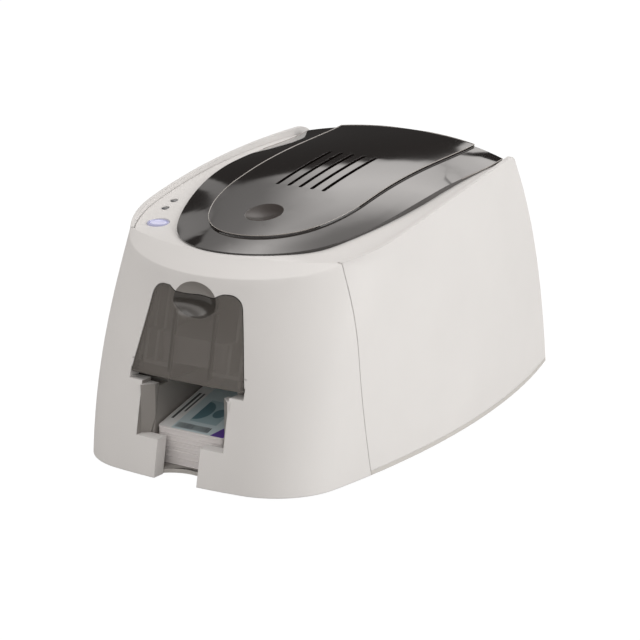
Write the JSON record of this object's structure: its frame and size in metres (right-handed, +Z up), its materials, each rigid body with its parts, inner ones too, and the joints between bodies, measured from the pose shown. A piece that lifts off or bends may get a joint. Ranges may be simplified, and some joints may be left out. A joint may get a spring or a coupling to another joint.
{
  "type": "id card printer",
  "caption": "Desktop plastic card printer with a smoky hinged hood over the print head, a tilting feeder door, an output bay with cards and a geared roller drive.",
  "frame": {"origin": "centre of the printer's outline at the level of the table it stands on", "axes": "+Z up, -Y towards the front with the feeder door, +X towards the printer's own left, which is on the right when facing its front"},
  "size_m": [0.2052, 0.3806, 0.1899],
  "materials": {
    "casing": "satin warm light grey moulded plastic",
    "base_grey": "satin light grey moulded plastic",
    "smoke_hood": "glossy smoky near black tinted plastic",
    "smoke_door": "glossy smoky translucent plastic",
    "black_plastic": "fine textured black plastic",
    "white_plastic": "glossy white plastic",
    "card_white": "glossy white card plastic",
    "card_art": "glossy printed card plastic, pale blue green",
    "button_blue": "translucent pale lavender blue plastic",
    "lamp_grey": "dark grey clear plastic",
    "sheet_steel": "zinc plated sheet steel",
    "shaft_steel": "ground steel",
    "spring_steel": "drawn spring steel",
    "bronze": "sintered bronze",
    "roller_rubber": "ground matte rubber",
    "foot_rubber": "matte rubber",
    "gear_white": "natural white acetal",
    "head_ceramic": "dark ceramic and moulded carrier",
    "sink_aluminium": "extruded aluminium",
    "motor_can": "black painted steel can",
    "ribbon_dye": "thin glossy dye film",
    "circuit_green": "green solder resist",
    "socket_metal": "tin plated steel",
    "socket_black": "black moulded plastic"
  },
  "bodies": {
    "casing": {"front_shell": "casing", "right_side_panel": "casing", "left_side_panel": "casing", "rear_panel": "casing", "base_pan": "base_grey", "hood_hinge_pins": "shaft_steel", "door_pins": "shaft_steel", "blank_cards": "card_white", "printed_cards": "card_art", "output_tray": "casing", "card_hopper": "white_plastic", "left_frame": "sheet_steel", "right_frame": "sheet_steel", "cross_bars": "shaft_steel", "shaft_bushes": "bronze", "drive_motor": "motor_can", "card_track": "black_plastic", "ribbon_cassette": "black_plastic", "ribbon_motor": "motor_can", "ribbon_film": "ribbon_dye", "button_ring": "white_plastic", "status_lights": "lamp_grey", "control_board": "circuit_green", "main_board": "circuit_green", "usb_socket": "socket_metal", "power_socket": "socket_black", "rubber_feet": "foot_rubber", "frame_screws": "spring_steel"},
    "hood": {"hood_cover": "smoke_hood", "hood_frame": "black_plastic", "hood_latch": "white_plastic", "print_head": "head_ceramic", "head_heatsink": "sink_aluminium", "head_springs": "spring_steel"},
    "door": {"feeder_door": "smoke_door"},
    "button": {"power_button": "button_blue"},
    "pickup_set": {"pickup_shaft": "shaft_steel", "pickup_roller": "roller_rubber", "pickup_gear": "gear_white"},
    "feed_set": {"feed_shaft": "shaft_steel", "feed_roller": "roller_rubber", "feed_gear": "gear_white"},
    "platen_set": {"platen_shaft": "shaft_steel", "platen_roller": "roller_rubber", "platen_gear": "gear_white"},
    "rear_set": {"rear_shaft": "shaft_steel", "rear_roller": "roller_rubber", "rear_gear": "gear_white"},
    "front_idler": {"front_idler_gear": "gear_white"},
    "middle_idler": {"middle_idler_gear": "gear_white"},
    "rear_idler": {"rear_idler_gear": "gear_white"},
    "pinion": {"motor_pinion": "bronze"},
    "cleaner": {"cleaning_roller": "roller_rubber"},
    "pinch": {"pinch_roller": "roller_rubber"},
    "supply": {"supply_spool": "ribbon_dye"},
    "takeup": {"takeup_spool": "ribbon_dye", "takeup_gear": "gear_white"},
    "ribbon_drive": {"ribbon_pinion": "bronze"}
  },
  "joints": [
    {"name": "hood_hinge", "type": "hinge", "parent": "casing", "child": "hood", "pos_m": [0, 0.085, 0.1738], "axis": [-1, 0, 0], "range_deg": [0, 62]},
    {"name": "door_hinge", "type": "hinge", "parent": "casing", "child": "door", "pos_m": [0, -0.17, 0.073], "axis": [1, 0, 0], "range_deg": [0, 80]},
    {"name": "button_press", "type": "slide", "parent": "casing", "child": "button", "axis": [0, 0, -1], "range_m": [0, 0.0012], "stiffness_N_per_m": 400},
    {"name": "platen_turn", "type": "hinge", "parent": "casing", "child": "platen_set", "pos_m": [0, 0.012, 0.0717], "axis": [1, 0, 0], "continuous": true},
    {"name": "feed_turn", "type": "hinge", "parent": "casing", "child": "feed_set", "pos_m": [0, -0.054, 0.0717], "axis": [1, 0, 0], "continuous": true},
    {"name": "pickup_turn", "type": "hinge", "parent": "casing", "child": "pickup_set", "pos_m": [0, -0.098, 0.0717], "axis": [1, 0, 0], "continuous": true},
    {"name": "rear_turn", "type": "hinge", "parent": "casing", "child": "rear_set", "pos_m": [0, 0.066, 0.0717], "axis": [1, 0, 0], "continuous": true},
    {"name": "front_idler_turn", "type": "hinge", "parent": "casing", "child": "front_idler", "pos_m": [0, -0.076, 0.0717], "axis": [1, 0, 0], "continuous": true},
    {"name": "middle_idler_turn", "type": "hinge", "parent": "casing", "child": "middle_idler", "pos_m": [0, -0.021, 0.0717], "axis": [1, 0, 0], "continuous": true},
    {"name": "rear_idler_turn", "type": "hinge", "parent": "casing", "child": "rear_idler", "pos_m": [0, 0.039, 0.0717], "axis": [1, 0, 0], "continuous": true},
    {"name": "motor_turn", "type": "hinge", "parent": "casing", "child": "pinion", "pos_m": [0, -0.021, 0.0447], "axis": [1, 0, 0], "continuous": true},
    {"name": "cleaner_turn", "type": "hinge", "parent": "casing", "child": "cleaner", "pos_m": [0, -0.054, 0.08406], "axis": [1, 0, 0], "continuous": true},
    {"name": "pinch_turn", "type": "hinge", "parent": "casing", "child": "pinch", "pos_m": [0, 0.066, 0.08406], "axis": [1, 0, 0], "continuous": true},
    {"name": "supply_turn", "type": "hinge", "parent": "casing", "child": "supply", "pos_m": [0, 0.062, 0.118], "axis": [1, 0, 0], "continuous": true},
    {"name": "takeup_turn", "type": "hinge", "parent": "casing", "child": "takeup", "pos_m": [0, -0.042, 0.118], "axis": [1, 0, 0], "continuous": true},
    {"name": "ribbon_motor_turn", "type": "hinge", "parent": "casing", "child": "ribbon_drive", "pos_m": [0, -0.06, 0.118], "axis": [1, 0, 0], "continuous": true}
  ],
  "couplings": [
    {"joint": "feed_turn", "follows": "platen_turn", "ratio": 1},
    {"joint": "pickup_turn", "follows": "platen_turn", "ratio": 1},
    {"joint": "rear_turn", "follows": "platen_turn", "ratio": 1},
    {"joint": "middle_idler_turn", "follows": "platen_turn", "ratio": -0.57143},
    {"joint": "front_idler_turn", "follows": "platen_turn", "ratio": -1.2},
    {"joint": "rear_idler_turn", "follows": "platen_turn", "ratio": -0.8},
    {"joint": "motor_turn", "follows": "platen_turn", "ratio": 2},
    {"joint": "cleaner_turn", "follows": "platen_turn", "ratio": -1.2},
    {"joint": "pinch_turn", "follows": "platen_turn", "ratio": -1.2},
    {"joint": "takeup_turn", "follows": "supply_turn", "ratio": 1.5556},
    {"joint": "ribbon_motor_turn", "follows": "supply_turn", "ratio": -3.1111}
  ]
}
